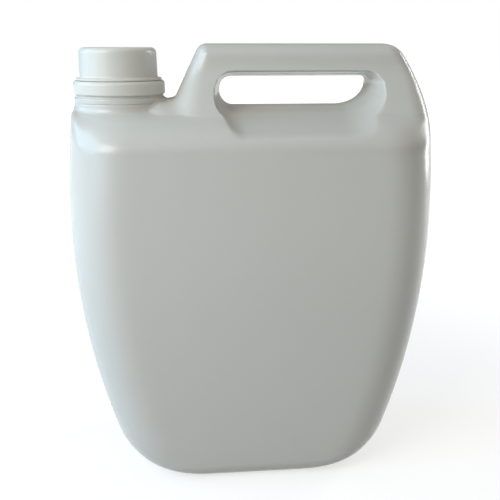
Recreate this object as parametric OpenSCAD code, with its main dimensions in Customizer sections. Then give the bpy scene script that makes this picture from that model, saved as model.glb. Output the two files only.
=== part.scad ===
// Five litre blow-moulded jerrycan with a through handle, a screw cap,
// the tamper ring that stays on the neck and the sealing disc under the cap.
// X runs across the width, the front looks towards -Y, and Z points up.
// The origin is the middle of the footprint, on the ground.

/* [Body] */
// Width across the widest part of the can
body_w = 226; // [218:1:250]
// Depth from front face to back face
body_d = 118; // [110:1:134]
// Height above the ground at which the can is widest
widest_z = 165.5; // [152:0.5:172]
// Radius of the long barrel curve of both sides
side_r = 461; // [400:1:650]
// Height of the shoulder that carries the neck
shoulder_z = 232.6; // [229:0.2:236]
// Height over which the shoulder rounds over into the front face
shoulder_drop = 26; // [22:1:34]
// Width of the rounding from the sides onto the front face
edge_w = 39; // [34:1:50]
// Radius of the two bottom corners, seen from the front
corner_r = 39; // [28:1:46]
// Radius of the edge round the base
foot_r = 11; // [8:1:15]
// How far each face draws in from the widest height to the base
face_draw = 7.3; // [3:0.1:9]
// Wall thickness of the blown shell
wall = 1.5; // [1.2:0.1:2.2]
// Height by which the middle of the base is pushed up
push_up = 2.5; // [1.5:0.1:4]

/* [Handle] */
// Overall height, to the top of the handle
handle_top = 270.4; // [267:0.2:275]
// Thickness of the grip from front to back
grip_t = 36; // [30:1:42]
// Height of the grip above the hand hole
grip_h = 19.2; // [17:0.2:21]
// Left end of the hand hole
hole_left = -19.2; // [-22:0.2:-16]
// Length of the hand hole
hole_len = 92; // [82:1:95]
// Height of the hand hole
hole_h = 17; // [15:0.5:19]
// Thickness at the rim of the hand hole, from front to back
rim_t = 28; // [22:1:32]
// How steeply the scoop rises away from the hand hole
scoop_slope = 3.2; // [2.4:0.1:4]
// How much steeper it rises beside the post
scoop_steeper = 2.2; // [1:0.1:3]
// How fast the posts widen downwards, on each face
post_flare = 0.75; // [0.5:0.05:0.9]
// Lean of the post beside the neck, from upright
post_lean = 26.4; // [23:0.2:30]
// Radius of the upper corner of the post beside the neck
post_corner_r = 7; // [4:0.5:10]
// Radius of the long curve on the far side of the handle
far_side_r = 86; // [76:1:110]
// Radius of the upper corner on the far side of the handle
far_corner_r = 14.2; // [9:0.2:18]

/* [Neck] */
// Distance of the neck axis in from the left side, at the widest height
neck_inset = 33; // [31:0.5:35]
// Outer diameter of the hollow collar at the foot of the neck
collar_d = 54.6; // [53:0.2:56]
// Outer diameter of the neck
neck_d = 40; // [38:0.2:42]
// Diameter of the mouth
mouth_d = 34; // [30:0.2:36]
// Height of the collar above the shoulder
collar_h = 6.9; // [5.5:0.1:8]

/* [Tamper ring] */
// Outer diameter of the tamper ring
ring_d = 55.2; // [52:0.2:57]
// Height of the tamper ring
ring_h = 8.2; // [6.4:0.2:9]

/* [Cap] */
// Outer diameter of the cap above its foot
cap_d = 46.6; // [46.2:0.2:49]
// Outer diameter of the cap's flared foot
cap_foot_d = 51.6; // [50:0.2:53]
// Height of the cap
cap_h = 18.5; // [17:0.5:22]
// Wall thickness of the cap
cap_wall = 1.7; // [1.4:0.1:2]
// Radius of the cap's upper edge
cap_edge_r = 3.2; // [2:0.2:4]
// Thickness of the sealing disc under the cap
liner_t = 1.2; // [0.8:0.1:1.6]

/* [Hidden] */

// Clearances and small steps
slide_gap = 0.3;
ring_slit = 0.6;
cap_draft = 0.3;
cap_foot_t = 0.9;
cap_foot_r = 1.5;
bead_out = 1.1;
bead_t = 1.4;
step_h = 1.3;
step_in = 1.6;
ring_lip_t = 1.6;
ring_wall = 1.6;
ring_bevel = 1.6;
neck_root = 8;
bore_depth = 12;
round_fn = 96;

// Half sizes, the hand hole's sides and small measures of the body
half_w = body_w / 2;
half_d = body_d / 2;
neck_offset = half_w - neck_inset;
hole_right = hole_left + hole_len;
hole_top = handle_top - grip_h;
hole_low = hole_top - hole_h;
half_grip = grip_t / 2;
half_rim = rim_t / 2;
rim_r = 3.4;
blend_h = 14;
foot_flat = 6;

// Powers of the rounded sections: 2 is a round edge, and a higher power is a tighter one
side_power = 2.4;
shoulder_power = 2.7;
grip_power = 2.8;
rim_power = 1.7;

// Where the posts start to widen, over which height, and how wide the steeper scoop is
flare_start = 4;
flare_blend = 6;
beside_w = 13;

// Heights of the neck's pieces, from the shoulder up
collar_top = shoulder_z + collar_h;
step_top = collar_top + step_h;
ring_top = step_top + ring_h;
bead_z = ring_top + slide_gap;
cap_low = ring_top + ring_slit;
cap_top = cap_low + cap_h;
cap_ceiling = cap_top - cap_wall;
mouth_z = cap_ceiling - liner_t;
neck_r = neck_d / 2;
cap_bore_r = cap_d / 2 - cap_wall;
collar_r = collar_d / 2;

// Points on an arc and on a line, both without their last point
function arc(c, r, a, b, n) =
    [for (i = [0:n - 1]) c + r * [cos(a + (b - a) * i / n), sin(a + (b - a) * i / n)]];
function line(a, b, n) = [for (i = [0:n - 1]) a + (b - a) * i / n];

// Smooth minimum and maximum, and a rounded step from 0 to 1 as u goes from 0 to 1
function smin(a, b, k) = let (m = max(k - abs(a - b), 0) / k) min(a, b) - m * m * k / 4;
function smax(a, b, k) = -smin(-a, -b, k);
function rounded(u, power) = pow(1 - pow(max(0, 1 - max(0, u)), power), 1 / power);
function ease(u) = let (f = max(0, min(1, u))) f * f * (3 - 2 * f);

// Counts of points along the stretches that the rings round the hand hole share
N_ZONE = 6;
N_FACE = 6;
N_FAR_LOW = 5;
N_FAR_HIGH = 3;
N_FAR_CORNER = 3;
N_TOP = 8;
N_POST_CORNER = 3;
N_POST = 4;
N_VALLEY = 3;
N_SHOULDER = 5;
N_SHOULDER_CORNER = 2;
N_SIDE = 2;
N_ALL = 2 * N_ZONE + N_FACE + N_FAR_LOW + N_FAR_HIGH + N_FAR_CORNER + N_TOP + N_POST_CORNER
    + N_POST + N_VALLEY + N_SHOULDER + N_SHOULDER_CORNER + N_SIDE;

// Front outline. Each side is one long arc, with a tangent arc down to the base. On the far
// side a tangent arc and a rounded corner lead up to the handle's level top. On the near
// side a rounded corner leads to the shoulder, and a leaning post up to the handle. Under
// the collar the shoulder climbs to the web that joins the collar to the post.
valley_r = 2;
shoulder_corner_r = 3;
far_join_drop = 7.8;
web_h = 5.6;
web_run = 12;
post_gap = 5.8;
join_z = shoulder_z - far_join_drop;
web_z = shoulder_z + web_h;
web_x = collar_r - neck_offset - 1 - web_run;
face_top = shoulder_z - shoulder_drop;
side_x0 = half_w - side_r;
side_c = [side_x0, widest_z];
join_a = asin((join_z - widest_z) / side_r);
far_c = side_c + (side_r - far_side_r) * [cos(join_a), sin(join_a)];
far_corner_z = handle_top - far_corner_r;
far_corner_x = far_c[0]
    + sqrt(pow(far_side_r - far_corner_r, 2) - pow(far_corner_z - far_c[1], 2));
far_corner_c = [far_corner_x, far_corner_z];
far_a = asin((far_corner_z - far_c[1]) / (far_side_r - far_corner_r));
post_foot = [collar_r - neck_offset + post_gap, web_z];
post_up = [sin(post_lean), cos(post_lean)];
post_out = [-cos(post_lean), sin(post_lean)];
post_c = post_foot - post_out * post_corner_r
    + post_up * ((handle_top - post_corner_r - web_z + post_out[1] * post_corner_r)
        / post_up[1]);
valley_c = post_foot + post_out * valley_r
    + post_up * ((valley_r - post_out[1] * valley_r) / post_up[1]);
near_c = [-side_x0, widest_z];
near_corner_z = shoulder_z - shoulder_corner_r;
near_corner_x = side_x0
    + sqrt(pow(side_r - shoulder_corner_r, 2) - pow(near_corner_z - widest_z, 2));
near_corner_c = [-near_corner_x, near_corner_z];
near_a = asin((near_corner_z - widest_z) / (side_r - shoulder_corner_r));
base_corner_x = side_x0 + sqrt(pow(side_r - corner_r, 2) - pow(widest_z - corner_r, 2));
base_corner_a = -asin((widest_z - corner_r) / (side_r - corner_r));
base_corner_end = corner_r + corner_r * sin(base_corner_a);

// Height of the shoulder line, which climbs to the web beside the collar. The wall is thicker
// in the web.
function shoulder_top(x, t) = shoulder_z + (web_h - t) * ease((x - web_x) / web_run);

// Half width of the can at height z, and the upper part of the outline from the far side at
// the top of the face round to the near side at the same height, all drawn in by t
function side_x(z, t) = z < base_corner_end
    ? base_corner_x + sqrt(max(0, pow(corner_r - t, 2) - pow(corner_r - z, 2)))
    : side_x0 + sqrt(pow(side_r - t, 2) - pow(z - widest_z, 2));
function upper_outline(t) = let (
    big = side_r - t,
    face_a = asin((face_top - widest_z) / big),
    post_low = valley_c - post_out * (valley_r + t))
    concat(
        arc(side_c, big, face_a, join_a, N_SIDE),
        arc(far_c, far_side_r - t, join_a, far_a, N_FAR_LOW + N_FAR_HIGH - N_SIDE),
        arc(far_corner_c, far_corner_r - t, far_a, 90, N_FAR_CORNER),
        line([far_corner_x, handle_top - t], [post_c[0], handle_top - t], N_TOP),
        arc(post_c, post_corner_r - t, 90, 180 - post_lean, N_POST_CORNER),
        line(post_c + post_out * (post_corner_r - t), post_low, N_POST),
        arc(valley_c, valley_r + t, -post_lean, -90, N_VALLEY),
        [for (p = line([valley_c[0], 0], [-near_corner_x, 0], N_SHOULDER))
            [p[0], shoulder_top(p[0], t) - t]],
        arc(near_corner_c, shoulder_corner_r - t, 90, 180 - near_a, N_SHOULDER_CORNER),
        arc(near_c, big, 180 - near_a, 180 - face_a, N_SIDE));

// Distance from the outline, inside it, in the upper part of the can
function turn(v) = atan2(v[1], v[0]);
function far_edge(p) = let (a = turn(p - far_c), b = turn(p - far_corner_c))
    p[0] < far_c[0] ? handle_top - p[1]
        : a < join_a ? side_r - norm(p - side_c)
        : b > far_a && b < 90 ? far_corner_r - norm(p - far_corner_c)
        : min(far_side_r - norm(p - far_c), handle_top - p[1]);
function near_edge(p, t) = let (b = turn(p - near_corner_c))
    b > 90 && b < 180 - near_a ? shoulder_corner_r - norm(p - near_corner_c)
        : min(side_r - norm(p - near_c), shoulder_top(p[0], t) - p[1]);
function side_edge(p) = p[0] < 0 ? side_r - norm(p - near_c) : far_edge(p);
function post_edge(p) = let (v = p - post_c, b = turn(v))
    b > 90 && b < 180 - post_lean ? post_corner_r - norm(v)
        : post_corner_r - v * post_out;
function upper_edge(p, t) = let (
    a = near_edge(p, t),
    b = post_edge(p))
    min(far_edge(p), a > 0 && b > 0 ? max(a, b) : smax(a, b, 2 * valley_r));

// Places across the can at height z, closer together where the sides round over
ZONE_STEPS = [0, 0.02, 0.09, 0.22, 0.43, 0.7];
function across(z, t) = let (w = side_x(z, t), zone = min(edge_w, 0.6 * w))
    concat(
        [for (f = ZONE_STEPS) -w + zone * f],
        line(-w + zone, w - zone, N_FACE),
        [for (i = [N_ZONE:-1:1]) i == N_ZONE ? w - zone : w - zone * ZONE_STEPS[i]],
        [w]);

// Rounded frame between four sides, point for point with the ring of the outline. Its corners
// run from the lower left one, anticlockwise, each with its radius across and its radius up.
function bow(c, r, a, b, n) =
    [for (i = [0:n - 1]) let (g = a + (b - a) * i / n) c + [r[0] * cos(g), r[1] * sin(g)]];
function frame_path(x0, x1, z0, z1, r) = let (
    n_low_left = N_SHOULDER + N_SHOULDER_CORNER + N_SIDE,
    low_left = bow([x0, z0] + r[0], r[0], 180, 270, n_low_left + N_ZONE))
    concat(
        [for (i = [n_low_left:n_low_left + N_ZONE - 1]) low_left[i]],
        line([x0 + r[0][0], z0], [x1 - r[1][0], z0], N_FACE),
        bow([x1 - r[1][0], z0 + r[1][1]], r[1], -90, 0, N_ZONE + N_FAR_LOW),
        bow([x1, z1] - r[2], r[2], 0, 90, N_FAR_HIGH + N_FAR_CORNER),
        line([x1 - r[2][0], z1], [x0 + r[3][0], z1], N_TOP),
        bow([x0 + r[3][0], z1 - r[3][1]], r[3], 90, 180, N_POST_CORNER),
        line([x0, z1 - r[3][1]], [x0, z0 + r[0][1]], N_POST + N_VALLEY),
        [for (i = [0:n_low_left - 1]) low_left[i]]);
hole_r = [[0.5, 0.5], [1.2, 0.74], [0.25, 0.25], [0.42, 0.42]] * hole_h;
function hole_path(t) = frame_path(hole_left - t, hole_right + t, hole_low - t, hole_top + t,
    [for (r = hole_r) r + [t, t]]);
scoop_left = 12;
scoop_right = 13;
scoop_low = 15;
scoop_corners = [[14, 14], [22, 18], [8, 8], [8, 8]];
scoop_ring = frame_path(hole_left - scoop_left, hole_right + scoop_right, hole_low - scoop_low,
    hole_top + 0.45 * grip_h, scoop_corners);

// Distance from the rim of the hand hole, outside it, along a line from the nearest corner's
// middle
function rim_dist(p) = let (
    far = p[0] > (hole_left + hole_right) / 2,
    high = p[1] > hole_low + hole_r[far ? 1 : 0][1],
    r = hole_r[far ? (high ? 2 : 1) : (high ? 3 : 0)],
    out = [max(0, far ? p[0] - hole_right + r[0] : hole_left + r[0] - p[0]),
        max(0, high ? p[1] - hole_top + r[1] : hole_low + r[1] - p[1])],
    share = norm([out[0] / r[0], out[1] / r[1]]))
    share > 0 ? norm(out) * (1 - 1 / share) : -min(r);

// Half thickness of the can at a point of the front view, for a surface t inside the shell
function foot_loss(z, t) = let (r = foot_r - t, u = min(1, max(0, z - t) / r))
    r * (1 - sqrt(1 - pow(1 - u, 2)));
function half_depth(z, t) =
    half_d - t - face_draw * pow((z - widest_z) / widest_z, 2) - foot_loss(z, t);
function half_thickness(p, t) = let (
    x = p[0],
    z = p[1],
    side_gap = (z > face_top ? side_edge(p) : side_x(z, 0) - abs(x)) - t,
    side = half_depth(z, t) * rounded(side_gap / (edge_w - t), side_power))
    z < face_top ? side : let (
        edge = upper_edge(p, t) - t,
        rim = rim_dist(p) - t,
        trunk = side * rounded((shoulder_z - t - z) / (shoulder_drop - t), shoulder_power),
        flare = post_flare * smax(0, hole_top + flare_start - z, flare_blend),
        grip = (half_grip + flare - t)
            * rounded(edge / (grip_h / 2 + 0.5 * flare - t), grip_power),
        full = smax(trunk, min(grip, max(side, grip_h / 2)), min(5, 0.4 * max(trunk, grip) + 0.1)),
        beside = max(0, min(1, (hole_left + beside_w - x) / beside_w)),
        slope = scoop_slope + scoop_steeper * beside * beside,
        scoop = (half_rim - t) * rounded(rim / rim_r, rim_power)
            + slope * max(0, rim - rim_r / 2),
        top = max(0, smin(full, scoop, min(2.5, 0.4 * min(full, scoop) + 0.1))))
        side + (top - side) * ease((z - face_top) / blend_h);

// Rows of the surface: from the hand hole to the scoop's ring, on to the outline, and from
// the top of the face down to the base. The outer skin has more of them than the inner one.
FINE = [[0, 0.07, 0.22, 0.55, 1], [0.25, 0.48, 0.68, 0.84, 0.94, 0.985, 1],
    [1, 0.8, 0.6, 0.42, 0.26], [1, 0.6, 0.28, 0.07, 0]];
COARSE = [[0, 0.07, 0.22, 0.55, 1], [0.25, 0.48, 0.68, 0.84, 0.95, 1],
    [1, 0.66, 0.33], [1, 0.6, 0.28, 0]];
function ray(hole, scoop, edge, rows, even) = let (count = len(rows[1])) concat(
    [for (f = rows[0]) hole + (scoop - hole) * f],
    [for (k = [0:count - 1])
        scoop + (edge - scoop) * (rows[1][k] * (1 - even) + (k + 1) / count * even)]);

// Rows across the base, as shares of its half depth from the front edge to the back edge
FOOT_ROWS = [1, 0.88, 0.66, 0.4, -0.4, -0.66, -0.88, -1];

// The closed skin of the can, t inside its outer surface. Rings round the hand hole make its
// upper part, and level rows the part below. The front and the back half meet in the
// outline, apart from the base, where a foot with a pushed up middle joins them.
module skin(t, rows) {
    top_row = [for (x = across(face_top, t)) [x, face_top]];
    columns = len(top_row);
    upper = upper_outline(t);
    edge = [for (i = [0:N_ALL - 1]) i < columns - 1 ? top_row[i] : upper[i - columns + 1]];
    hole = hole_path(t);
    rings = [for (i = [0:N_ALL - 1]) ray(hole[i], scoop_ring[i], edge[i], rows,
        i < columns - 1 ? min(1, (side_x(face_top, t) - abs(edge[i][0])) / edge_w) : 0)];
    depth_rows = len(rings[0]);
    last = depth_rows - 1;
    z_at = concat(
        [for (f = rows[2]) if (f < 1) t + corner_r / 2 + (face_top - t - corner_r / 2) * f],
        [corner_r / 2 + t],
        [for (f = rows[3]) t + (foot_r - t) * f]);
    levels = [for (z = z_at) [for (x = across(z, t)) [x, z]]];
    lower_start = N_ALL * depth_rows;
    half = lower_start + len(levels) * columns;
    flat = concat([for (r = rings) each r], [for (l = levels) each l]);
    on_seam = concat(
        [for (i = [0:N_ALL - 1]) for (j = [0:last])
            j == 0 || (j == last && (i == 0 || i >= columns - 1))],
        [for (l = levels) for (k = [0:columns - 1]) k == 0 || k == columns - 1]);
    depth = [for (i = [0:half - 1]) on_seam[i] ? 0 : half_thickness(flat[i], t)];
    foot_start = half - columns;
    foot_points = [for (f = FOOT_ROWS) if (abs(f) < 1) for (k = [0:columns - 1]) let (
        x = flat[foot_start + k][0],
        y = depth[foot_start + k],
        lift_y = ease((y * (1 - abs(f)) - foot_flat) / foot_flat),
        lift_x = ease((flat[half - 1][0] - abs(x) - foot_flat) / (2 * foot_flat)))
        [x, -y * f, t + push_up * lift_x * lift_y]];
    points = concat([for (side = [-1, 1]) for (i = [0:half - 1])
        [flat[i][0], side * depth[i], flat[i][1]]], foot_points);
    function ring_at(i, j) = (i % N_ALL) * depth_rows + j;
    function level_at(m, k) = m < 0 ? ring_at(k, last) : lower_start + m * columns + k;
    front = concat(
        [for (i = [0:N_ALL - 1]) for (j = [0:last - 1])
            [ring_at(i, j), ring_at(i + 1, j), ring_at(i + 1, j + 1), ring_at(i, j + 1)]],
        [for (m = [-1:len(levels) - 2]) for (k = [0:columns - 2])
            [level_at(m, k), level_at(m, k + 1), level_at(m + 1, k + 1), level_at(m + 1, k)]]);
    function behind(i) = on_seam[i] ? i : i + half;
    back = [for (q = front) [behind(q[0]), behind(q[3]), behind(q[2]), behind(q[1])]];
    function foot_at(r, k) = r == 0 || k == 0 || k == columns - 1 ? foot_start + k
        : r == len(FOOT_ROWS) - 1 ? behind(foot_start + k)
        : 2 * half + (r - 1) * columns + k;
    foot = [for (r = [0:len(FOOT_ROWS) - 2]) for (k = [0:columns - 2])
        [foot_at(r, k), foot_at(r, k + 1), foot_at(r + 1, k + 1), foot_at(r + 1, k)]];
    faces = [for (q = concat(front, back, foot))
        for (f = [[q[0], q[1], q[2]], [q[0], q[2], q[3]]])
            if (f[0] != f[1] && f[1] != f[2] && f[2] != f[0]) f];
    polyhedron(points, faces, convexity = 8);
}

module on_neck() {
    translate([-neck_offset, 0, 0]) children();
}

// One blown piece: shell, through handle, collar and neck, open at the mouth
module body() {
    color([0.87, 0.88, 0.86]) difference() {
        union() {
            skin(0, FINE);
            on_neck() rotate_extrude($fn = round_fn) neck_section();
        }
        skin(wall, COARSE);
        on_neck() translate([0, 0, shoulder_z - bore_depth]) {
            cylinder(d = mouth_d, h = mouth_z - shoulder_z + bore_depth + 1, $fn = round_fn);
            cylinder(r = collar_r - 2 * wall, h = bore_depth + collar_h - wall, $fn = round_fn);
        }
    }
}

// Outer section of the neck: collar, the step that the ring rests on, neck and its bead
module neck_section() {
    step_r = collar_r - step_in;
    polygon([
        [0, shoulder_z - neck_root], [collar_r, shoulder_z - neck_root],
        [collar_r, collar_top - 0.8], [collar_r - 0.8, collar_top], [step_r, collar_top],
        [step_r, step_top],
        [neck_r, step_top], [neck_r, bead_z], [neck_r + bead_out, bead_z + 0.2],
        [neck_r + bead_out, bead_z + bead_t - 0.6], [neck_r, bead_z + bead_t],
        [neck_r, mouth_z - 0.6], [neck_r - 0.6, mouth_z], [0, mouth_z]]);
}

// The ring that breaks off the cap and stays on the neck, under the bead
module tamper_ring() {
    r = ring_d / 2;
    lip_r = neck_r + slide_gap;
    inner_r = r - ring_wall - 1;
    color([0.93, 0.94, 0.94]) on_neck() rotate_extrude($fn = round_fn) polygon([
        [lip_r, step_top], [r - 0.8, step_top], [r, step_top + 0.8],
        [r, ring_top - ring_bevel], [r - 0.7 * ring_bevel, ring_top], [lip_r, ring_top],
        [lip_r, ring_top - ring_lip_t], [inner_r, ring_top - ring_lip_t],
        [inner_r, step_top + ring_lip_t], [lip_r, step_top + ring_lip_t]]);
}

// Sealing disc between the mouth's rim and the cap
module liner() {
    color([0.80, 0.82, 0.84]) on_neck() translate([0, 0, mouth_z])
        cylinder(r = cap_bore_r - slide_gap, h = liner_t, $fn = round_fn);
}

// Smooth screw cap with a flared foot
module cap() {
    r = cap_d / 2;
    top_r = r - cap_draft;
    foot_out = cap_foot_d / 2;
    color([0.95, 0.96, 0.96]) on_neck() rotate_extrude($fn = round_fn) polygon(concat(
        [[cap_bore_r, cap_low], [foot_out, cap_low], [foot_out, cap_low + cap_foot_t]],
        arc([r + cap_foot_r, cap_low + cap_foot_t + cap_foot_r], cap_foot_r, 270, 180, 4),
        [[r, cap_low + cap_foot_t + cap_foot_r]],
        arc([top_r - cap_edge_r, cap_top - cap_edge_r], cap_edge_r, 0, 90, 8),
        [[top_r - cap_edge_r, cap_top], [0, cap_top], [0, cap_ceiling],
         [cap_bore_r, cap_ceiling]]));
}

body();
tamper_ring();
liner();
cap();
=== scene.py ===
"""Visual model of a blow-moulded jerrycan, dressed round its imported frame."""

from math import asin, cos, pi, radians, sin, sqrt

import bmesh
import bpy
import numpy as np
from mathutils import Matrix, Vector


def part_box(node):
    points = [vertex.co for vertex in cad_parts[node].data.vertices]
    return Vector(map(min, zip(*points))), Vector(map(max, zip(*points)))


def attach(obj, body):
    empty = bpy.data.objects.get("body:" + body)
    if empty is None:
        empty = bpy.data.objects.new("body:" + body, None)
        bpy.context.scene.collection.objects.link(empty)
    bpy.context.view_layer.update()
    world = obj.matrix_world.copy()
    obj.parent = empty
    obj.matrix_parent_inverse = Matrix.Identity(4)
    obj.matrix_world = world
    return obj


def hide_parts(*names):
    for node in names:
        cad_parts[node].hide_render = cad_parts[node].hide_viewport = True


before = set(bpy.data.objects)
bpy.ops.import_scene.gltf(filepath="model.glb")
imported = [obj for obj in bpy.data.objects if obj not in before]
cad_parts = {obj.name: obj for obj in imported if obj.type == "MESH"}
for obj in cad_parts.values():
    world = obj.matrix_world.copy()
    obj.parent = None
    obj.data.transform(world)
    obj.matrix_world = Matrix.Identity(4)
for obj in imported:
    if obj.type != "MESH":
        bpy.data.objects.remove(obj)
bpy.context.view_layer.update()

MM = 0.001
body_low, body_high = (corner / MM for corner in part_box("body"))
cap_box = [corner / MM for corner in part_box("cap")]
ring_box = [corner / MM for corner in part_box("tamper_ring")]
liner_box = [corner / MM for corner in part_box("liner")]

# Sizes in millimetres. The body's box gives its width, depth and height, and the boxes of
# the ring, the cap and the liner give the neck's axis and the heights on it.
HALF_W = (body_high.x - body_low.x) / 2
HALF_D = (body_high.y - body_low.y) / 2
WIDEST_Z = 165.5
SIDE_R = 461
SHOULDER_Z = 232.6
SHOULDER_DROP = 26
EDGE_W = 39
CORNER_R = 39
FOOT_R = 11
FOOT_FLAT = 6
FACE_DRAW = 7.3
WALL = 1.5
PUSH_UP = 2.5
BLEND_H = 14
SIDE_POWER = 2.4
SHOULDER_POWER = 2.7
GRIP_POWER = 2.8
RIM_POWER = 1.7
GRIP_BLEND = 5
SCOOP_BLEND = 2.5
BLEND_SHARE = 0.4
BLEND_LEAST = 0.1

HANDLE_TOP = body_high.z
HALF_GRIP = 18
GRIP_H = 19.2
HOLE_LEFT = -19.2
HOLE_RIGHT = 72.8
HOLE_H = 17
HALF_RIM = 14
RIM_R = 3.4
HOLE_TOP = HANDLE_TOP - GRIP_H
HOLE_LOW = HOLE_TOP - HOLE_H
HOLE_R = HOLE_H * np.array([[0.5, 0.5], [1.2, 0.74], [0.25, 0.25], [0.42, 0.42]])
SCOOP_LEFT, SCOOP_RIGHT, SCOOP_LOW = 12, 13, 15
SCOOP_CORNERS = np.array([[14, 14], [22, 18], [8, 8], [8, 8]], float)
SCOOP_HIGH = 0.45 * GRIP_H
SCOOP_SLOPE = 3.2
SCOOP_STEEPER = 2.2
BESIDE_W = 13
POST_FLARE = 0.75
FLARE_START = 4
FLARE_BLEND = 6
POST_LEAN = 26.4
POST_CORNER_R = 7
POST_GAP = 5.8
FAR_SIDE_R = 86
JOIN_DROP = 7.8
FAR_CORNER_R = 14.2
VALLEY_R = 2
SHOULDER_CORNER_R = 3
WEB_H = 5.6
WEB_RUN = 12
WEB_OVERLAP = 1

NECK_X = (ring_box[0].x + ring_box[1].x) / 2
NECK_R = 20
MOUTH_R = 17
COLLAR_R = 27.3
COLLAR_H = 6.9
COLLAR_TOP = SHOULDER_Z + COLLAR_H
STEP_IN = 0.9
STEP_R = COLLAR_R - STEP_IN
UNDER_Z = SHOULDER_Z - 13
FILLET_R = 2.4
FILLET_SUNK = 0.3
FILLET_POWER = 1.4
FILLET_COLUMNS = 10
FILLET_FADE = 0.04
SEARCH_H = 14
SEARCH_STEPS = 30
RING_LOW = ring_box[0].z
RING_TOP = ring_box[1].z
RING_R = (ring_box[1].x - ring_box[0].x) / 2
RING_PLAY = 0.3
RING_WALL = 2.6
RING_LIP_H = 1.6
RING_FOOT_BEVEL = 0.8
RING_TOP_BEVEL = 1.1
SLIDE_GAP = 0.3
BEAD_Z = RING_TOP + SLIDE_GAP
BEAD_OUT = 1.1
MOUTH_Z = liner_box[0].z
CAP_LOW = cap_box[0].z
CAP_TOP = cap_box[1].z
CAP_FOOT_R = (cap_box[1].x - cap_box[0].x) / 2
CAP_FLARE = 2.5
CAP_WALL = 1.7
CAP_R = CAP_FOOT_R - CAP_FLARE
CAP_BORE_R = CAP_R - CAP_WALL
CAP_TAPER = 0.3
CAP_FOOT_DROP = 0.35
CAP_FOOT_H = 0.9
CAP_EDGE_R = 3.2
CAP_COVE_R = 1.5
DISH_IN = 6.5
DISH_FLOOR_IN = 6.9
DISH_DEEP = 0.25
CAP_CEILING = liner_box[1].z
THREAD_PITCH = 5
THREAD_OUT = 1.2
THREAD_SUNK = 0.3
HALF_THREAD = 1.2
HALF_CREST = 0.5
THREAD_LEAST = 0.05
THREAD_FADE = 8
THREAD_STEPS = 72

SEAM_OUT = 0.16
HALF_SEAM = 0.3
PLATE_LIFT = 0.8
PLATE_BEND_H = 20
BASE_SEAM_W = 1.1
BASE_SEAM_SHORT = 3
BASE_SEAM_LEAST = 0.1
BASE_SEAM_MORE = 0.5
BASE_SEAM_WAVE = 0.08
BASE_SEAM_RATE = 0.9
DENSE = 6
INNER_DENSE = 2
ROUND_STEPS = 192
SHARP_ANGLE = 32

CLOUD_SCALE = 14
SHINE_SCALE = 9
WAVE_SCALE = 22
WAVE_STRENGTH = 0.12
WAVE_DEEP = 0.0006
GRAIN_SCALE = 900
GRAIN_DEEP = 0.00012

ROOM_COLOR = (0.93, 0.91, 0.86)
ROOM_STRENGTH = 0.37
WINDOW_POWER = 7.4
FRONT_POWER = 4.5
SHEEN_POWER = 0.55
BACK_POWER = 4
FLOOR_COLOR = 0.42
FLOOR_LIFT = 0.66
FLOOR_SIZE = 12
FLOOR_NEAR = 0.15
FLOOR_FAR = 0.9


def smin(a, b, k):
    """Smooth minimum of a and b, rounded over a difference of k."""
    m = np.maximum(k - np.abs(a - b), 0) / k
    return np.minimum(a, b) - m * m * k / 4


def smax(a, b, k):
    """Smooth maximum of a and b."""
    return -smin(-a, -b, k)


def rounded(u, power):
    """A rounded step from 0 to 1 as u goes from 0 to 1."""
    return (1 - np.maximum(0, 1 - np.maximum(0, u)) ** power) ** (1 / power)


def arc(centre, r, start, end, n):
    """Points on an arc in degrees, without its last point."""
    a = np.radians(np.linspace(start, end, n, endpoint=False))
    return np.asarray(centre, float) + r * np.stack([np.cos(a), np.sin(a)], 1)


def line(a, b, n):
    """Points on a line, without its last point."""
    f = np.linspace(0, 1, n, endpoint=False)[:, None]
    return np.asarray(a, float) * (1 - f) + np.asarray(b, float) * f


def deg(a):
    """The angle a, given in radians, in degrees."""
    return a * 180 / pi


def ease(u):
    """Smooth step from 0 to 1 as u goes from 0 to 1."""
    f = np.clip(u, 0, 1)
    return f * f * (3 - 2 * f)


# Front outline: each side is one long arc with a tangent corner at the base. On the far side
# a tangent arc and a rounded corner lead up to the handle. On the near side a rounded corner
# leads to the shoulder, and a leaning post up to the handle. Beside the collar the shoulder
# climbs to the web that joins the collar to the post.
JOIN_Z = SHOULDER_Z - JOIN_DROP
FACE_TOP = SHOULDER_Z - SHOULDER_DROP
SIDE_X0 = HALF_W - SIDE_R
SIDE_C = np.array([SIDE_X0, WIDEST_Z])
JOIN_A = asin((JOIN_Z - WIDEST_Z) / SIDE_R)
FAR_C = SIDE_C + (SIDE_R - FAR_SIDE_R) * np.array([cos(JOIN_A), sin(JOIN_A)])
FAR_CORNER_Z = HANDLE_TOP - FAR_CORNER_R
FAR_CORNER_C = np.array([
    FAR_C[0] + sqrt((FAR_SIDE_R - FAR_CORNER_R) ** 2 - (FAR_CORNER_Z - FAR_C[1]) ** 2),
    FAR_CORNER_Z])
FAR_A = asin((FAR_CORNER_Z - FAR_C[1]) / (FAR_SIDE_R - FAR_CORNER_R))
WEB_Z = SHOULDER_Z + WEB_H
WEB_X = NECK_X + COLLAR_R - WEB_OVERLAP - WEB_RUN
POST_FOOT = np.array([NECK_X + COLLAR_R + POST_GAP, WEB_Z])
POST_UP = np.array([sin(radians(POST_LEAN)), cos(radians(POST_LEAN))])
POST_OUT = np.array([-cos(radians(POST_LEAN)), sin(radians(POST_LEAN))])
POST_RISE = HANDLE_TOP - POST_CORNER_R - WEB_Z + POST_OUT[1] * POST_CORNER_R
POST_C = POST_FOOT - POST_OUT * POST_CORNER_R + POST_UP * POST_RISE / POST_UP[1]
VALLEY_C = POST_FOOT + POST_OUT * VALLEY_R + POST_UP * (VALLEY_R * (1 - POST_OUT[1])) / POST_UP[1]
NEAR_C = np.array([-SIDE_X0, WIDEST_Z])
NEAR_CORNER_Z = SHOULDER_Z - SHOULDER_CORNER_R
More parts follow.
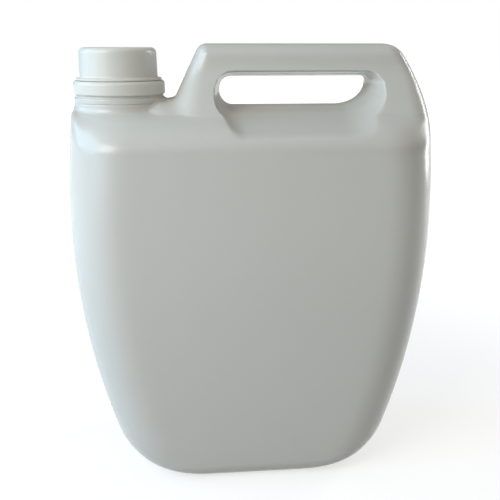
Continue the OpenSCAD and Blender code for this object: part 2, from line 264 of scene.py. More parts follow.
NEAR_CORNER_X = SIDE_X0 + sqrt((SIDE_R - SHOULDER_CORNER_R) ** 2 - (NEAR_CORNER_Z - WIDEST_Z) ** 2)
NEAR_CORNER_C = np.array([-NEAR_CORNER_X, NEAR_CORNER_Z])
NEAR_A = asin((NEAR_CORNER_Z - WIDEST_Z) / (SIDE_R - SHOULDER_CORNER_R))
BASE_X = SIDE_X0 + sqrt((SIDE_R - CORNER_R) ** 2 - (WIDEST_Z - CORNER_R) ** 2)
BASE_CORNER_END = CORNER_R - CORNER_R * (WIDEST_Z - CORNER_R) / (SIDE_R - CORNER_R)

# Counts of points along the stretches that the rings round the hand hole share
N_ZONE, N_FACE, N_FAR_LOW, N_FAR_HIGH, N_FAR_CORNER, N_TOP = 6, 6, 5, 3, 3, 8
N_POST_CORNER, N_POST, N_VALLEY, N_SHOULDER, N_SHOULDER_CORNER, N_SIDE = 3, 4, 3, 5, 2, 2

# Counts of rows: from the hand hole to the scoop's edge and on to the outline, then down the
# face, round the foot and across the base, with the powers that draw rows and columns together
N_INNER, N_OUTER, N_LEVELS, N_FOOT, N_UNDER = 4, 6, 10, 3, 8
ZONE_POWER = 2.15
ZONE_SHARE = 0.6
INNER_POWER = 2.1


def shoulder_top(x, t):
    """Height of the shoulder line, which climbs to the web beside the collar."""
    return SHOULDER_Z + (WEB_H - t) * ease((x - WEB_X) / WEB_RUN)


def side_x(z, t):
    """Half width of the can at height z, drawn in by t."""
    corner = BASE_X + np.sqrt(np.maximum(0, (CORNER_R - t) ** 2 - (CORNER_R - z) ** 2))
    barrel = SIDE_X0 + np.sqrt((SIDE_R - t) ** 2 - (z - WIDEST_Z) ** 2)
    return np.where(z < BASE_CORNER_END, corner, barrel)


def upper_outline(t, k):
    """Outline from the far side at the top of the face round to the near side."""
    big = SIDE_R - t
    face_a = deg(asin((FACE_TOP - WIDEST_Z) / big))
    join_a, far_a, near_a = deg(JOIN_A), deg(FAR_A), deg(NEAR_A)
    post_low = VALLEY_C - POST_OUT * (VALLEY_R + t)
    shoulder_x = np.linspace(VALLEY_C[0], -NEAR_CORNER_X, k * N_SHOULDER, endpoint=False)
    return np.concatenate([
        arc(SIDE_C, big, face_a, join_a, k * N_SIDE),
        arc(FAR_C, FAR_SIDE_R - t, join_a, far_a, k * (N_FAR_LOW + N_FAR_HIGH - N_SIDE)),
        arc(FAR_CORNER_C, FAR_CORNER_R - t, far_a, 90, k * N_FAR_CORNER),
        line([FAR_CORNER_C[0], HANDLE_TOP - t], [POST_C[0], HANDLE_TOP - t], k * N_TOP),
        arc(POST_C, POST_CORNER_R - t, 90, 180 - POST_LEAN, k * N_POST_CORNER),
        line(POST_C + POST_OUT * (POST_CORNER_R - t), post_low, k * N_POST),
        arc(VALLEY_C, VALLEY_R + t, -POST_LEAN, -90, k * N_VALLEY),
        np.stack([shoulder_x, shoulder_top(shoulder_x, t) - t], 1),
        arc(NEAR_CORNER_C, SHOULDER_CORNER_R - t, 90, 180 - near_a, k * N_SHOULDER_CORNER),
        arc(NEAR_C, big, 180 - near_a, 180 - face_a, k * N_SIDE)])


def away(x, z, c):
    """Distance from the point c in the front view."""
    return np.hypot(x - c[0], z - c[1])


def bent(x, z, c, low, high, r, rest):
    """Distance inside a rounded corner where the point lies in its sector, and else the rest."""
    angle = np.arctan2(z - c[1], x - c[0])
    return np.where((angle > low) & (angle < high), r - away(x, z, c), rest)


def far_edge(x, z):
    """Distance from the outline's far side and the handle's top."""
    far = np.minimum(FAR_SIDE_R - away(x, z, FAR_C), HANDLE_TOP - z)
    far = bent(x, z, FAR_CORNER_C, FAR_A, pi / 2, FAR_CORNER_R, far)
    turn = np.arctan2(z - FAR_C[1], x - FAR_C[0])
    far = np.where(turn < JOIN_A, SIDE_R - away(x, z, SIDE_C), far)
    return np.where(x < FAR_C[0], HANDLE_TOP - z, far)


def upper_edge(x, z, t):
    """Distance from the outline, inside it, in the upper part of the can."""
    near = np.minimum(SIDE_R - away(x, z, NEAR_C), shoulder_top(x, t) - z)
    near = bent(x, z, NEAR_CORNER_C, pi / 2, pi - NEAR_A, SHOULDER_CORNER_R, near)
    post = POST_CORNER_R - (x - POST_C[0]) * POST_OUT[0] - (z - POST_C[1]) * POST_OUT[1]
    post = bent(x, z, POST_C, pi / 2, pi - radians(POST_LEAN), POST_CORNER_R, post)
    return np.minimum(far_edge(x, z), smax(near, post, 2 * VALLEY_R))


def side_edge(x, z):
    """Distance from the nearer side of the can in its upper part."""
    return np.where(x < 0, SIDE_R - away(x, z, NEAR_C), far_edge(x, z))


def bow(c, r, start, end, n):
    """Points on an elliptic arc with radii r across and up, without its last point."""
    a = np.radians(np.linspace(start, end, n, endpoint=False))
    return np.asarray(c, float) + np.stack([r[0] * np.cos(a), r[1] * np.sin(a)], 1)


def frame_path(x0, x1, z0, z1, r, k):
    """Rounded frame with corner radii r from the lower left, point for point with a ring."""
    n_low_left = k * (N_SHOULDER + N_SHOULDER_CORNER + N_SIDE)
    low_left = bow([x0 + r[0][0], z0 + r[0][1]], r[0], 180, 270, n_low_left + k * N_ZONE)
    return np.concatenate([
        low_left[n_low_left:],
        line([x0 + r[0][0], z0], [x1 - r[1][0], z0], k * N_FACE),
        bow([x1 - r[1][0], z0 + r[1][1]], r[1], -90, 0, k * (N_ZONE + N_FAR_LOW)),
        bow([x1 - r[2][0], z1 - r[2][1]], r[2], 0, 90, k * (N_FAR_HIGH + N_FAR_CORNER)),
        line([x1 - r[2][0], z1], [x0 + r[3][0], z1], k * N_TOP),
        bow([x0 + r[3][0], z1 - r[3][1]], r[3], 90, 180, k * N_POST_CORNER),
        line([x0, z1 - r[3][1]], [x0, z0 + r[0][1]], k * (N_POST + N_VALLEY)),
        low_left[:n_low_left]])


def rim_dist(x, z):
    """Distance from the rim of the hand hole along a line from the nearest corner's middle."""
    far = x > (HOLE_LEFT + HOLE_RIGHT) / 2
    high = z > HOLE_LOW + np.where(far, HOLE_R[1, 1], HOLE_R[0, 1])
    corner = np.where(far, np.where(high, 2, 1), np.where(high, 3, 0))
    rx, rz = HOLE_R[corner, 0], HOLE_R[corner, 1]
    out_x = np.maximum(0, np.where(far, x - HOLE_RIGHT + rx, HOLE_LEFT + rx - x))
    out_z = np.maximum(0, np.where(high, z - HOLE_TOP + rz, HOLE_LOW + rz - z))
    share = np.hypot(out_x / rx, out_z / rz)
    along = np.hypot(out_x, out_z) * (1 - 1 / np.maximum(share, 1e-9))
    return np.where(share > 0, along, -np.minimum(rx, rz))


def half_depth(z, t):
    """Half depth of the can at height z, without the rounding of its sides."""
    r = FOOT_R - t
    u = np.clip((z - t) / r, 0, 1)
    draw = FACE_DRAW * ((z - WIDEST_Z) / WIDEST_Z) ** 2
    return HALF_D - t - draw - r * (1 - np.sqrt(1 - (1 - u) ** 2))


def half_thickness(x, z, t):
    """Half thickness of the can at a point of the front view, t inside the outer surface."""
    upper = z > FACE_TOP
    level_gap = side_x(z, 0) - np.abs(x)
    barrel_gap = SIDE_R - away(np.abs(x), z, SIDE_C)
    barrel = ease((z - 2 * CORNER_R) / CORNER_R)
    lower_gap = level_gap + (barrel_gap - level_gap) * barrel
    side_gap = np.where(upper, side_edge(x, z), lower_gap) - t
    side = half_depth(z, t) * rounded(side_gap / (EDGE_W - t), SIDE_POWER)
    edge = upper_edge(x, z, t) - t
    rim = rim_dist(x, z) - t
    trunk = side * rounded((SHOULDER_Z - t - z) / (SHOULDER_DROP - t), SHOULDER_POWER)
    flare = POST_FLARE * smax(0 * z, HOLE_TOP + FLARE_START - z, FLARE_BLEND)
    grip = (HALF_GRIP + flare - t) * rounded(edge / (GRIP_H / 2 + flare / 2 - t), GRIP_POWER)
    grip = np.minimum(grip, np.maximum(side, GRIP_H / 2))
    grip_blend = BLEND_SHARE * np.maximum(trunk, grip) + BLEND_LEAST
    full = smax(trunk, grip, np.minimum(GRIP_BLEND, grip_blend))
    beside = np.clip((HOLE_LEFT + BESIDE_W - x) / BESIDE_W, 0, 1)
    slope = SCOOP_SLOPE + SCOOP_STEEPER * beside ** 2
    lip = (HALF_RIM - t) * rounded(rim / RIM_R, RIM_POWER)
    scoop = lip + slope * np.maximum(0, rim - RIM_R / 2)
    scoop_blend = BLEND_SHARE * np.minimum(full, scoop) + BLEND_LEAST
    top = smin(full, scoop, np.minimum(SCOOP_BLEND, scoop_blend))
    blend = ease((z - FACE_TOP) / BLEND_H)
    return np.where(upper, side + (np.maximum(0, top) - side) * blend, side)


def skin(t, k, thickest=1000):
    """Vertices and faces of the can's closed skin, t inside its outer surface.

    It is no thicker than thickest to either side of the parting plane.

    Rings round the hand hole make its upper part and level rows the part below. The front and
    the back half meet in the outline, apart from the base, where a foot joins them.
    """
    zone_steps = (np.arange(k * N_ZONE) / (k * N_ZONE)) ** ZONE_POWER

    def across(z):
        """Places along the row at height z, closer together near its ends."""
        w = float(side_x(z, t))
        zone = min(EDGE_W, ZONE_SHARE * w)
        face = np.linspace(-w + zone, w - zone, k * N_FACE, endpoint=False)
        return np.concatenate([-w + zone * zone_steps, face, [w - zone],
                               (w - zone * zone_steps)[:0:-1], [w]])

    top_row = across(FACE_TOP)
    columns = len(top_row)
    edge = np.concatenate([
        np.stack([top_row[:-1], np.full(columns - 1, FACE_TOP)], 1), upper_outline(t, k)])
    count = len(edge)
    hole = frame_path(HOLE_LEFT - t, HOLE_RIGHT + t, HOLE_LOW - t, HOLE_TOP + t,
                      HOLE_R + t, k)
    scoop = frame_path(HOLE_LEFT - SCOOP_LEFT, HOLE_RIGHT + SCOOP_RIGHT, HOLE_LOW - SCOOP_LOW,
                       HOLE_TOP + SCOOP_HIGH, SCOOP_CORNERS, k)
    inner = np.linspace(0, 1, k * N_INNER + 1) ** INNER_POWER
    # The outer rows are even towards the middle of the face and gather at the outline elsewhere
    step = np.arange(1, k * N_OUTER + 1) / (k * N_OUTER)
    from_side = side_x(FACE_TOP, t) - np.abs(edge[:columns - 1, 0])
    even = np.zeros(count)
    even[:columns - 1] = np.clip(from_side / EDGE_W, 0, 1)
    outer = (1 - (1 - step) ** 2)[None, :] * (1 - even[:, None]) + step[None, :] * even[:, None]
    rings = np.concatenate([
        hole[:, None] + (scoop - hole)[:, None] * inner[None, :, None],
        scoop[:, None] + (edge - scoop)[:, None] * outer[:, :, None]], 1)
    rows = rings.shape[1]
    foot_rows = (np.arange(k * N_FOOT, -1, -1) / (k * N_FOOT)) ** 2
    levels_z = np.concatenate([
        np.linspace(FACE_TOP, FOOT_R + t, k * N_LEVELS, endpoint=False)[1:],
        t + FOOT_R * foot_rows])
    levels = np.array([np.stack([across(z), np.full(columns, z)], 1) for z in levels_z])
    flat = np.concatenate([rings.reshape(-1, 2), levels.reshape(-1, 2)])
    seam_ring = np.zeros((count, rows), bool)
    seam_ring[:, 0] = True
    seam_ring[columns - 1:, -1] = True
    seam_ring[0, -1] = True
    seam_level = np.zeros(levels.shape[:2], bool)
    seam_level[:, [0, -1]] = True
    on_seam = np.concatenate([seam_ring.ravel(), seam_level.ravel()])
    depth = np.where(on_seam, 0, half_thickness(flat[:, 0], flat[:, 1], t))
    depth = np.minimum(depth, thickest)
    half = len(flat)
    ring_at = np.arange(count * rows).reshape(count, rows)
    level_at = np.concatenate([
        ring_at[:columns, -1][None],
        count * rows + np.arange(levels.shape[0] * columns).reshape(-1, columns)])

    def quads(grid_a, grid_b):
        """Faces between the rows of grid_a and the same rows of grid_b."""
        corners = [grid_a[:, :-1], grid_b[:, :-1], grid_b[:, 1:], grid_a[:, 1:]]
        return np.stack(corners, -1).reshape(-1, 4)

    around = np.concatenate([ring_at, ring_at[:1]])
    lower = quads(level_at[1:], level_at[:-1])[:, [1, 2, 3, 0]]
    front = np.concatenate([quads(around[:-1], around[1:]), lower])
    behind = np.where(on_seam, np.arange(half), np.arange(half) + half)
    back = behind[front][:, ::-1]
    points = np.concatenate([
        np.stack([flat[:, 0], -depth, flat[:, 1]], 1),
        np.stack([flat[:, 0], depth, flat[:, 1]], 1)])
    last = level_at[-1]
    foot_n = k * N_UNDER
    share = np.linspace(-1, 1, foot_n + 1)
    foot_x = flat[last, 0]
    foot_y = depth[last][None] * share[:, None]
    rim_y = depth[last][None] * (1 - np.abs(share))[:, None]
    rim_x = np.broadcast_to(foot_x.max() - np.abs(foot_x), rim_y.shape)
    foot_z = t + PUSH_UP * (ease((rim_y - FOOT_FLAT) / FOOT_FLAT)
                            * ease((rim_x - FOOT_FLAT) / (2 * FOOT_FLAT)))
    foot_points = np.stack([np.broadcast_to(foot_x, rim_y.shape), foot_y, foot_z], -1)[1:-1]
    foot_at = 2 * half + np.arange((foot_n - 1) * columns).reshape(-1, columns)
    foot_at = np.concatenate([last[None], foot_at, behind[last][None]])
    foot_at[:, 0] = last[0]
    foot_at[:, -1] = last[-1]
    foot = quads(foot_at[:-1], foot_at[1:])
    return np.concatenate([points, foot_points.reshape(-1, 3)]), np.concatenate([front, back, foot])


def mesh_object(name, points, faces):
    """Object from points in millimetres and faces, without repeated corners or loose points."""
    used, index = np.unique(np.concatenate([np.ravel(f) for f in faces]), return_inverse=True)
    points = np.asarray(points, float)[used] * MM
    clean, at = [], 0
    for f in faces:
        ids = index[at:at + len(f)].tolist()
        at += len(f)
        ids = [v for i, v in enumerate(ids) if v != ids[i - 1]]
        if len(ids) > 2:
            clean.append(ids)
    mesh = bpy.data.meshes.new(name)
    mesh.from_pydata(points.tolist(), [], clean)
    mesh.validate()
    made = bpy.data.objects.new(name, mesh)
    bpy.context.scene.collection.objects.link(made)
    return made


def outward(made):
    """Turns the faces of a closed mesh outwards."""
    work = bmesh.new()
    work.from_mesh(made.data)
    bmesh.ops.recalc_face_normals(work, faces=work.faces)
    work.to_mesh(made.data)
    work.free()
    return made


def lathe(name, profile, n=ROUND_STEPS, wobble=None):
    """Closed solid turned round the neck's axis from a closed profile of (radius, height)."""
    profile = np.asarray(profile, float)
    m = len(profile)
    a = np.linspace(0, 2 * pi, n, endpoint=False)
    r = np.broadcast_to(profile[:, 0], (n, m))
    z = np.broadcast_to(profile[:, 1], (n, m))
    if wobble is not None:
        r = r + wobble(a[:, None], r, z)
    x = NECK_X + r * np.cos(a)[:, None]
    y = r * np.sin(a)[:, None]
    points = np.stack([x, y, z], -1).reshape(-1, 3)
    on_axis = profile[:, 0] < 1e-6
    at = np.arange(n * m).reshape(n, m)
    at[:, on_axis] = at[0, on_axis]
    faces = []
    for i in range(n):
        for j in range(m):
            quad = [at[i, j], at[(i + 1) % n, j], at[(i + 1) % n, (j + 1) % m], at[i, (j + 1) % m]]
            quad = [v for k, v in enumerate(quad) if v != quad[k - 1]]
            if len(quad) > 2:
                faces.append(quad)
    return outward(mesh_object(name, points, faces))


def combine(target, other, operation):
    """Applies a boolean of other to target and removes other."""
    step = target.modifiers.new("join", "BOOLEAN")
    step.operation = operation
    step.solver = "MANIFOLD"
    step.object = other
    graph = bpy.context.evaluated_depsgraph_get()
    mesh = bpy.data.meshes.new_from_object(target.evaluated_get(graph))
    target.modifiers.clear()
    old = target.data
    target.data = mesh
    mesh.name = target.name
    bpy.data.meshes.remove(old)
    bpy.data.objects.remove(other)
    return target


def smooth(made):
    """Shades a piece smoothly between its sharp edges."""
    for face in made.data.polygons:
        face.use_smooth = True
    made.data.set_sharp_from_angle(angle=radians(SHARP_ANGLE))
    return made


def tube(name, sections, loop=False):
    """Closed solid through cross-sections, each a ring of points, with two ends or in a loop."""
    rings = np.asarray(sections, float)
    n, m = rings.shape[:2]
    faces = [[i * m + j, i * m + (j + 1) % m, (i + 1) * m + (j + 1) % m, (i + 1) * m + j]
             for i in range(n - 1) for j in range(m)]
    if loop:
        faces += [[(n - 1) * m + j, (n - 1) * m + (j + 1) % m, (j + 1) % m, j] for j in range(m)]
    else:
        faces += [list(range(m)), list(range((n - 1) * m, n * m))]
    return outward(mesh_object(name, rings.reshape(-1, 3), faces))


def thread(name, r, out, z0, turns):
    """Ridge of a screw thread that starts at z0 on radius r and stands out by out."""
    n = int(THREAD_STEPS * turns)
    sunk_r = r - THREAD_SUNK * np.sign(out)
    sections = []
    for i in range(n + 1):
        a = 2 * pi * turns * i / n
        fade = min(1, i / THREAD_FADE, (n - i) / THREAD_FADE)
        high = THREAD_LEAST + fade * (1 - THREAD_LEAST)
        z = z0 + THREAD_PITCH * turns * i / n
        ring = [(sunk_r, -HALF_THREAD), (r + out * high, -HALF_CREST * high),
                (r + out * high, HALF_CREST * high), (sunk_r, HALF_THREAD)]
        sections.append([(NECK_X + rr * cos(a), rr * sin(a), z + dz) for rr, dz in ring])
    return tube(name, sections)


def shoulder_height(x, y):
    """Height of the can's upper surface at a place in plan, near the neck."""
    low = np.full(x.shape, float(SHOULDER_Z - SEARCH_H))
    high = shoulder_top(x, 0)
    for _ in range(SEARCH_STEPS):
        middle = (low + high) / 2
        inside = (upper_edge(x, middle, 0) > 0) & (half_thickness(x, middle, SEAM_OUT) > np.abs(y))
        low = np.where(inside, middle, low)
        high = np.where(inside, high, middle)
    return (low + high) / 2


def collar_fillet():
    """Solid ring that rounds the corner between the collar and the shoulder."""
    a = np.linspace(0, 2 * pi, ROUND_STEPS, endpoint=False)[:, None]
    f = np.linspace(0, 1, FILLET_COLUMNS)[None, :]
    r = COLLAR_R - FILLET_SUNK + (FILLET_R + FILLET_SUNK) * f ** FILLET_POWER
    x = NECK_X + r * np.cos(a)
    y = r * np.sin(a)
    u = np.clip((r - COLLAR_R) / FILLET_R, 0, 1)
    rise = FILLET_R * (1 - np.sqrt(1 - (1 - u) ** 2)) - FILLET_FADE
    top = np.minimum(shoulder_height(x, y) + rise, COLLAR_TOP - STEP_IN)
    sections = []
    for i in range(ROUND_STEPS):
        ring = [(x[i, j], y[i, j], top[i, j]) for j in range(FILLET_COLUMNS)]
        ring += [(x[i, -1], y[i, -1], min(UNDER_Z, top[i, -1] - 1)), (x[i, 0], y[i, 0], UNDER_Z)]
        sections.append(ring)
    return tube("fillet", sections, loop=True)


def round_corner(before, corner, after, size, n=5):
    """Points of a rounding of the given size at the middle one of three profile points."""
    a, b, c = np.array([before, corner, after], float)
    p = b + (a - b) / np.linalg.norm(a - b) * size
    q = b + (c - b) / np.linalg.norm(c - b) * size
    s = np.linspace(0, 1, n)[:, None]
    return ((1 - s) ** 2 * p + 2 * s * (1 - s) * b + s ** 2 * q).tolist()


def softened(profile, sizes):
    """Profile with each corner rounded by its own size, 0 for a sharp one."""
    made = []
    n = len(profile)
    for i, size in enumerate(sizes):
        if size == 0:
            made.append(list(profile[i]))
        else:
            made += round_corner(profile[i - 1], profile[i], profile[(i + 1) % n], size)
    return made


def parting_plate():
    """Thin plate in the parting plane, whose edge stands out of the shell as the parting line.

    Its lower edge bends up into the base, where the pinch-off seam takes over.
    """
    points, faces = skin(0, 2, HALF_SEAM)
    foot_x = float(side_x(0, 0))
    lift = (PUSH_UP + PLATE_LIFT) * ease((foot_x - np.abs(points[:, 0])) / FOOT_FLAT)
    z = points[:, 2]
    points[:, 2] = np.where(z < PLATE_BEND_H, lift + z * (1 - lift / PLATE_BEND_H), z)
    return outward(mesh_object("parting_plate", points, faces))


def base_seam():
    """Pinch-off seam across the pushed up base, where the blown tube was squeezed shut."""
    sections = []
    half = BASE_SEAM_W / 2
    foot_x = float(side_x(0, 0)) - BASE_SEAM_SHORT
    for x in np.linspace(-foot_x, foot_x, 80):
        inward = foot_x + BASE_SEAM_SHORT - abs(x) - FOOT_FLAT
        rise = PUSH_UP * float(ease(inward / (2 * FOOT_FLAT)))
        wave = BASE_SEAM_WAVE * rise / PUSH_UP * sin(BASE_SEAM_RATE * x)
        proud = BASE_SEAM_LEAST + BASE_SEAM_MORE * rise / PUSH_UP + wave
        z = SEAM_OUT + rise
        sections.append([(x, -half, z + 0.5), (x, -half * 0.4, z - proud),
                         (x, half * 0.4, z - proud), (x, half, z + 0.5)])
    return tube("base_seam", sections)


def make_body():
    """Blown shell with its neck, thread, parting line, base seam and hollow inside."""
    made = outward(mesh_object("can_shell", *skin(SEAM_OUT, DENSE)))
    neck_profile = softened(
        [(0, SHOULDER_Z - 8), (COLLAR_R - 0.3, SHOULDER_Z - 8), (COLLAR_R - 0.1, SHOULDER_Z + 3),
         (COLLAR_R - 0.45, SHOULDER_Z + 3.5), (COLLAR_R, SHOULDER_Z + 4), (COLLAR_R, COLLAR_TOP),
         (STEP_R, COLLAR_TOP), (STEP_R, RING_LOW), (NECK_R, RING_LOW), (NECK_R, BEAD_Z),
         (NECK_R + BEAD_OUT, BEAD_Z + 0.2), (NECK_R + BEAD_OUT, BEAD_Z + 0.9),
         (NECK_R, BEAD_Z + 1.4), (NECK_R, MOUTH_Z), (0, MOUTH_Z)],
        [0, 0, 0.3, 0.25, 0.3, 0.9, 0.3, 0.3, 0.3, 0.1, 0.15, 0.3, 0.3, 0.7, 0])

    def wobble(a, r, z):
        """Slight unevenness round the collar, as a change of radius."""
        soft = np.clip((r - STEP_R) / 4, 0, 1)
        return -soft * 0.14 * (1 + np.sin(3 * a + 1) * np.cos(5 * a + 0.4))

    combine(made, parting_plate(), "UNION")
    combine(made, base_seam(), "UNION")
    combine(made, collar_fillet(), "UNION")
    combine(made, lathe("neck", neck_profile, wobble=wobble), "UNION")
    combine(made, thread("neck_thread", NECK_R, THREAD_OUT, BEAD_Z + 3.2, 2), "UNION")
    combine(made, outward(mesh_object("hollow", *skin(WALL, INNER_DENSE))), "DIFFERENCE")
    bore = softened([(0, UNDER_Z), (COLLAR_R - 2 * WALL, UNDER_Z),
                     (COLLAR_R - 2 * WALL, COLLAR_TOP - WALL), (MOUTH_R, COLLAR_TOP - WALL),
                     (MOUTH_R, MOUTH_Z + 1), (0, MOUTH_Z + 1)], [0, 0, 1, 1, 0, 0])
    combine(made, lathe("bore", bore), "DIFFERENCE")
    return smooth(made)


def make_cap():
    """Screw cap with a flared foot, an inner thread and the stub of its moulding gate."""
    foot_low = CAP_LOW - CAP_FOOT_DROP
    foot_top = CAP_LOW + CAP_FOOT_H
    edge_r = CAP_R - CAP_TAPER - CAP_EDGE_R
    edge_z = CAP_TOP - CAP_EDGE_R
    edge = [(edge_r + CAP_EDGE_R * sin(a), edge_z + CAP_EDGE_R * cos(a))
            for a in np.linspace(pi / 2, 0, 12)]
    cove_r = CAP_R + CAP_COVE_R
    cove_z = foot_top + CAP_COVE_R
    cove = [(cove_r - CAP_COVE_R * sin(a), cove_z - CAP_COVE_R * cos(a))
            for a in np.linspace(0, pi / 2, 8)]
    profile = [(CAP_BORE_R + 0.3, foot_low), (CAP_FOOT_R - 0.2, foot_low),
               (CAP_FOOT_R, foot_low + 0.2), (CAP_FOOT_R, foot_top - 0.3),
               (CAP_FOOT_R - 0.3, foot_top), *cove, *edge,
               (CAP_R - DISH_IN, CAP_TOP - 0.02), (CAP_R - DISH_FLOOR_IN, CAP_TOP - DISH_DEEP),
               (0, CAP_TOP - DISH_DEEP), (0, CAP_CEILING), (CAP_BORE_R - 0.4, CAP_CEILING),
               (CAP_BORE_R, CAP_CEILING - 0.4), (CAP_BORE_R, CAP_LOW + 0.3)]
    made = lathe("cap_shell", profile)
    start = BEAD_Z + 2 + THREAD_PITCH / 2
    combine(made, thread("cap_thread", CAP_BORE_R, -THREAD_OUT, start, 1.8), "UNION")
    gate = [(0, CAP_TOP - 1), (1.6, CAP_TOP - 1), (1.4, CAP_TOP - 0.2), (0.6, CAP_TOP - 0.05),
            (0, CAP_TOP - 0.05)]
    combine(made, lathe("gate", gate, 32), "UNION")
    return smooth(made)


def make_ring():
    """Tamper ring with bevelled outer edges and a lip inside at its top and at its foot."""
    lip = NECK_R + RING_PLAY
    inner = RING_R - RING_WALL
    top_low = RING_TOP - RING_LIP_H
    foot_high = RING_LOW + RING_LIP_H
    profile = softened(
        [(lip, RING_LOW), (RING_R - RING_FOOT_BEVEL, RING_LOW),
         (RING_R, RING_LOW + RING_FOOT_BEVEL), (RING_R, top_low),
         (RING_R - RING_TOP_BEVEL, RING_TOP), (lip, RING_TOP), (lip, top_low),
         (inner, top_low), (inner, foot_high), (lip, foot_high)],
        [0.2, 0.4, 0.4, 0.4, 0.4, 0.2, 0.2, 0.4, 0.4, 0.2])
    return smooth(lathe("seal_ring", profile))


class Nodes:
    """Short way to lay out a material's nodes."""

    def __init__(self, name):
        self.material = bpy.data.materials.new(name)
        self.material.use_nodes = True
        self.tree = self.material.node_tree
        self.shader = self.tree.nodes["Principled BSDF"]
        self.place = self.tree.nodes.new("ShaderNodeTexCoord").outputs["Object"]

    def add(self, kind, inputs=(), **settings):
        """Adds a node, and links or sets its inputs."""
        node = self.tree.nodes.new(kind)
        for key, value in settings.items():
            setattr(node, key, value)
        for key, value in dict(inputs).items():
            if isinstance(value, bpy.types.NodeSocket):
                self.tree.links.new(value, node.inputs[key])
            else:
                node.inputs[key].default_value = value
        return node

    def noise(self, scale, detail):
        """Noise in the piece's own space."""
        node = self.add("ShaderNodeTexNoise", {
            "Vector": self.place, "Scale": scale, "Detail": detail, "Roughness": 0.5})
        return node.outputs["Fac"]

    def between(self, value, low, high):
        """Value from 0 to 1 spread over low to high."""
        node = self.add("ShaderNodeMapRange", {"Value": value, "To Min": low, "To Max": high})
        return node.outputs["Result"]

    def mix(self, value, a, b):
        """Colour between a and b."""
        node = self.add("ShaderNodeMix", data_type="RGBA")
        self.tree.links.new(value, node.inputs["Factor"])
        node.inputs["A"].default_value = (*a, 1)
        node.inputs["B"].default_value = (*b, 1)
        return node.outputs["Result"]

    def bump(self, height, strength, distance, normal=None):
        """Relief in the shading, on top of an earlier one if there is one."""
        inputs = {"Height": height, "Strength": strength, "Distance": distance}
        if normal is not None:
            inputs["Normal"] = normal
        return self.add("ShaderNodeBump", inputs).outputs["Normal"]

    def finish(self, **sockets):
        """Links or sets the shader's sockets."""
        for key, value in sockets.items():
            socket = self.shader.inputs[key.replace("_", " ")]
            if isinstance(value, bpy.types.NodeSocket):
                self.tree.links.new(value, socket)
            else:
                socket.default_value = value
        return self.material


def plastic(name, light, dark, roughness, gloss_noise, grain, scatter):
    """Moulded polyethylene: faint clouding, a soft waxy gloss and a fine skin."""
    n = Nodes(name)
    cloud = n.between(n.noise(CLOUD_SCALE, 2), -0.2, 1.2)
    color = n.mix(cloud, dark, light)
    shine = n.between(n.noise(SHINE_SCALE, 1), roughness - gloss_noise, roughness + gloss_noise)
    waves = n.bump(n.noise(WAVE_SCALE, 1), WAVE_STRENGTH, WAVE_DEEP)
    skin_bump = n.bump(n.noise(GRAIN_SCALE, 2), grain, GRAIN_DEEP, waves)
    return n.finish(Base_Color=color, Roughness=shine, Normal=skin_bump, Subsurface_Weight=scatter,
                    Subsurface_Scale=0.004, Subsurface_Radius=(1.0, 0.95, 0.85), IOR=1.5)


def dress(made, node, body, material):
    """Gives a piece its material and its place on the frame, in place of its CAD node."""
    made.data.materials.clear()
    made.data.materials.append(material)
    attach(made, body)
    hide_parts(node)


def make_materials():
    """Finishes of the can, of the cap with its ring, and of the disc."""
    return {
        "can_plastic": plastic(
            "can_plastic", light=(0.64, 0.635, 0.60), dark=(0.628, 0.623, 0.588),
            roughness=0.24, gloss_noise=0.015, grain=0.03, scatter=0.15),
        "cap_plastic": plastic(
            "cap_plastic", light=(0.72, 0.71, 0.66), dark=(0.705, 0.695, 0.645),
            roughness=0.28, gloss_noise=0.02, grain=0.03, scatter=0.2),
        "liner_foam": plastic(
            "liner_foam", light=(0.72, 0.73, 0.73), dark=(0.66, 0.67, 0.67),
            roughness=0.7, gloss_noise=0.05, grain=0.5, scatter=0.2)}


def area_light(name, place, target, size, power, color):
    """Rectangular lamp at a place, turned to its target."""
    light = bpy.data.lights.new(name, "AREA")
    light.shape = "RECTANGLE"
    light.size, light.size_y = size
    light.energy = power
    light.color = color
    lamp = bpy.data.objects.new(name, light)
    lamp.location = place
    lamp.rotation_euler = (Vector(target) - Vector(place)).to_track_quat("-Z", "Y").to_euler()
    bpy.context.scene.collection.objects.link(lamp)


def seen_white(tree):
    """Gives 1 for camera, glossy and transmission rays, which see the background as white."""
    paths = tree.nodes.new("ShaderNodeLightPath")
    seen = paths.outputs["Is Camera Ray"]
    for kind in ("Is Transmission Ray", "Is Glossy Ray"):
        either = tree.nodes.new("ShaderNodeMath")
        either.operation = "MAXIMUM"
        tree.links.new(seen, either.inputs[0])
        tree.links.new(paths.outputs[kind], either.inputs[1])
        seen = either.outputs[0]
    return seen


def make_world():
    """Plain room light that the camera sees as white."""
    world = bpy.data.worlds.new("studio")
    bpy.context.scene.world = world
    world.use_nodes = True
    tree = world.node_tree
    fill = tree.nodes["Background"]
    fill.inputs["Color"].default_value = (*ROOM_COLOR, 1)
    fill.inputs["Strength"].default_value = ROOM_STRENGTH
    white = tree.nodes.new("ShaderNodeBackground")
    white.inputs["Color"].default_value = (1, 1, 1, 1)
    mix = tree.nodes.new("ShaderNodeMixShader")
    paths = tree.nodes.new("ShaderNodeLightPath")
    tree.links.new(paths.outputs["Is Camera Ray"], mix.inputs["Fac"])
    tree.links.new(fill.outputs[0], mix.inputs[1])
    tree.links.new(white.outputs[0], mix.inputs[2])
    tree.links.new(mix.outputs[0], tree.nodes["World Output"].inputs["Surface"])


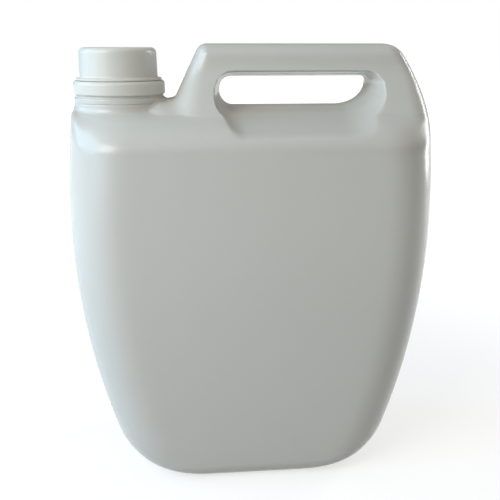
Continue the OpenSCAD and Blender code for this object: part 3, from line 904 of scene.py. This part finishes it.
def make_floor():
    """Pale floor that keeps the shadow and brightens to the white background further out."""
    bpy.ops.mesh.primitive_plane_add(size=FLOOR_SIZE)
    floor = bpy.context.object
    floor.name = "floor"
    material = bpy.data.materials.new("pale_floor")
    material.use_nodes = True
    tree = material.node_tree
    shader = tree.nodes["Principled BSDF"]
    shader.inputs["Base Color"].default_value = (FLOOR_COLOR, FLOOR_COLOR, FLOOR_COLOR, 1)
    shader.inputs["Roughness"].default_value = 0.9
    shader.inputs["Specular IOR Level"].default_value = 0.1
    shader.inputs["Emission Color"].default_value = (1, 1, 1, 1)
    place = tree.nodes.new("ShaderNodeTexCoord")
    out = tree.nodes.new("ShaderNodeVectorMath")
    out.operation = "LENGTH"
    tree.links.new(place.outputs["Object"], out.inputs[0])
    lift = tree.nodes.new("ShaderNodeMapRange")
    lift.interpolation_type = "SMOOTHSTEP"
    lift.inputs["From Min"].default_value = FLOOR_NEAR
    lift.inputs["From Max"].default_value = FLOOR_FAR
    lift.inputs["To Min"].default_value = FLOOR_LIFT
    lift.inputs["To Max"].default_value = 1
    tree.links.new(out.outputs["Value"], lift.inputs["Value"])
    shown = tree.nodes.new("ShaderNodeMath")
    shown.operation = "MULTIPLY"
    tree.links.new(lift.outputs["Result"], shown.inputs[0])
    tree.links.new(seen_white(tree), shown.inputs[1])
    tree.links.new(shown.outputs[0], shader.inputs["Emission Strength"])
    floor.data.materials.append(material)


def make_lamps():
    """A large window and a soft sheen on the left, the room in front and a rim light behind."""
    area_light("window", (-1.0, 0.0, 0.66), (0, 0, 0.18), (1.0, 0.8), WINDOW_POWER,
               (0.42, 0.72, 1.0))
    area_light("room", (-0.62, -0.58, 0.68), (0, 0, 0.16), (0.5, 0.5), FRONT_POWER,
               (1.0, 0.96, 0.89))
    area_light("sheen", (-0.48, -0.32, 0.28), (-0.03, 0, 0.15), (0.4, 0.4), SHEEN_POWER,
               (0.65, 0.84, 1.0))
    area_light("rim", (0.9, 0.45, 0.4), (0.05, 0, 0.16), (0.25, 0.7), BACK_POWER,
               (0.95, 0.98, 1.0))


def make_camera():
    """Camera with the place and the turn that the photo's outline gave."""
    yaw, pitch, roll = radians(5.32), radians(16.55), radians(0.03)
    data = bpy.data.cameras.new("camera")
    data.lens = 50
    data.sensor_width = 36
    camera = bpy.data.objects.new("camera", data)
    camera.location = (-0.0410, -0.4393, 0.2702)
    ahead = Vector((sin(yaw) * cos(pitch), cos(yaw) * cos(pitch), -sin(pitch)))
    camera.rotation_euler = ahead.to_track_quat("-Z", "Y").to_euler()
    camera.rotation_euler.rotate_axis("Z", roll)
    bpy.context.scene.collection.objects.link(camera)
    bpy.context.scene.camera = camera


make_camera()
make_world()
make_floor()
make_lamps()
finishes = make_materials()
dress(make_body(), "body", "can", finishes["can_plastic"])
dress(make_cap(), "cap", "cap", finishes["cap_plastic"])
dress(make_ring(), "tamper_ring", "can", finishes["cap_plastic"])
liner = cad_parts["liner"]
liner.data.materials.clear()
liner.data.materials.append(finishes["liner_foam"])

bpy.context.scene.view_settings.view_transform = "Standard"
